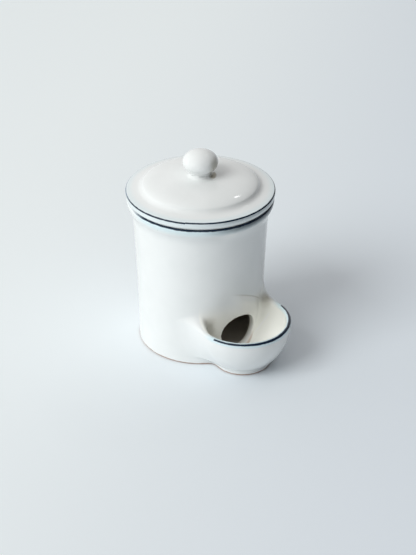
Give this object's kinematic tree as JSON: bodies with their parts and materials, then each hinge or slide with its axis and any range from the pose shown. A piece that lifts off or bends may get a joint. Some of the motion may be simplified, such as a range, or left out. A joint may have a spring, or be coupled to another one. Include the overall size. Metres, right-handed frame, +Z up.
{
  "type": "salt cellar",
  "caption": "Thrown, glazed earthenware salt jar under a lift-off lid with a ball knob, which feeds salt through an oval hole into a small round cup luted low on its front.",
  "frame": {"origin": "where the jar's axis meets the surface that the salt cellar stands on", "axes": "+Z up along the jar's axis, -Y out of the jar's front through the feed hole and the cup, +X to the right as seen from in front of the cup"},
  "size_m": [0.1098, 0.1415, 0.1544],
  "materials": {
    "jar_glaze": "glossy white tin glaze with a dark blue brushed line round the rim",
    "cup_glaze": "glossy warm white tin glaze with a dark blue brushed line along the lip",
    "lid_glaze": "glossy white tin glaze with a blue brushed line round the edge",
    "knob_glaze": "glossy white tin glaze"
  },
  "bodies": {
    "jar": {"jar": "jar_glaze", "cup": "cup_glaze"},
    "lid": {"lid": "lid_glaze", "knob": "knob_glaze"}
  },
  "joints": [
    {"name": "lid_lift", "type": "slide", "parent": "jar", "child": "lid", "axis": [0, 0, 1], "range_m": [0, 0.06]}
  ]
}
